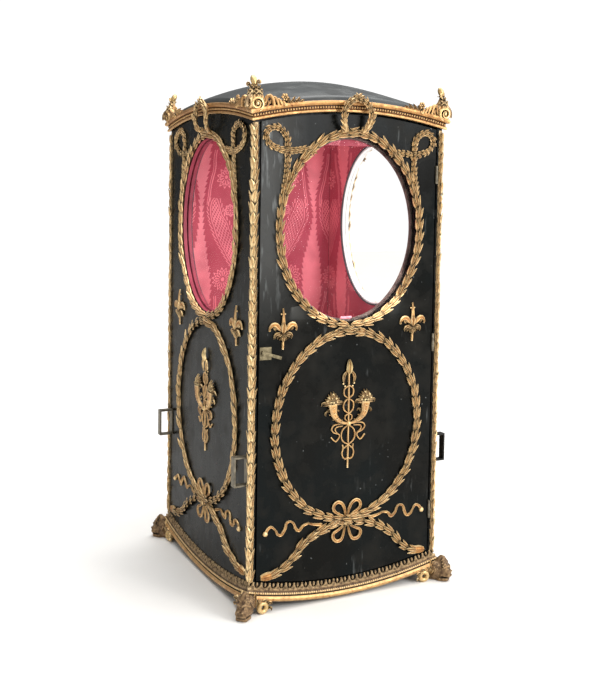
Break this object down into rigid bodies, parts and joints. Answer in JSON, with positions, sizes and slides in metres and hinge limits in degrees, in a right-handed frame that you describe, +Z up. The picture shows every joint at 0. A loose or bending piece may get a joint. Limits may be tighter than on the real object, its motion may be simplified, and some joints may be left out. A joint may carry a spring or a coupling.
{
  "type": "sedan chair",
  "caption": "Closed upright cabin for one seated passenger, with glazed oval windows, a front door, a domed lifting roof, carved gilt garlands and side loops for carrying poles.",
  "frame": {"origin": "on the floor under the middle of the body", "axes": "+Z up; -Y out of the door at the front; +X to the right of someone who looks at the door"},
  "size_m": [0.794, 0.845, 1.722],
  "materials": {
    "black_leather": "black lacquered leather over boards, satin, scuffed",
    "roof_leather": "grey-black waxed leather with soft creases",
    "floor_wood": "dark stained board",
    "crimson_damask": "crimson silk damask with a large figure",
    "window_glass": "clear old glass",
    "window_bead": "dark corded binding",
    "gilt_wood": "carved and water-gilded, worn in the hollows",
    "dull_gilt": "carved, bronzed gilding darkened by age",
    "iron": "forged iron, brown with age",
    "latch_brass": "dull brass"
  },
  "bodies": {
    "chair": {"back_panel": "black_leather", "base_moulding_back": "dull_gilt", "base_moulding_front": "dull_gilt", "base_moulding_left": "dull_gilt", "base_moulding_right": "dull_gilt", "corner_post_front_left": "black_leather", "corner_post_front_right": "black_leather", "corner_post_rear_left": "black_leather", "corner_post_rear_right": "black_leather", "door_head": "black_leather", "door_hinge_pins": "iron", "floor_board": "floor_wood", "foot_front_left": "dull_gilt", "foot_front_right": "dull_gilt", "foot_rear_left": "dull_gilt", "foot_rear_right": "dull_gilt", "garland_back": "gilt_wood", "garland_left": "gilt_wood", "garland_right": "gilt_wood", "pole_bracket_front_left": "iron", "pole_bracket_front_right": "iron", "pole_bracket_rear_left": "iron", "pole_bracket_rear_right": "iron", "roof_hinge_pins": "iron", "seat_board": "floor_wood", "seat_cushion": "crimson_damask", "seat_front": "crimson_damask", "side_panel_left": "black_leather", "side_panel_right": "black_leather", "side_window_bead_left": "window_bead", "side_window_bead_right": "window_bead", "side_window_glass_left": "window_glass", "side_window_glass_right": "window_glass", "sill_back": "black_leather", "sill_front": "black_leather", "sill_left": "black_leather", "sill_right": "black_leather"},
    "door": {"door_panel": "black_leather", "door_window_glass": "window_glass", "door_window_bead": "window_bead", "garland_door": "gilt_wood", "door_hinge_leaves": "iron", "door_latch": "latch_brass"},
    "roof": {"roof_shell": "roof_leather", "roof_hinge_leaves": "iron", "cornice_back": "gilt_wood", "cornice_front": "gilt_wood", "cornice_left": "gilt_wood", "cornice_right": "gilt_wood", "roof_finial_front_left": "gilt_wood", "roof_finial_front_right": "gilt_wood", "roof_finial_rear_left": "gilt_wood", "roof_finial_rear_right": "gilt_wood"}
  },
  "joints": [
    {"name": "door_hinge", "type": "hinge", "parent": "chair", "child": "door", "pos_m": [0.3265, -0.3855, 0.83], "axis": [0, 0, 1], "range_deg": [0, 100]},
    {"name": "roof_hinge", "type": "hinge", "parent": "chair", "child": "roof", "pos_m": [0, 0.4055, 1.562], "axis": [-1, 0, 0], "range_deg": [0, 70]}
  ]
}
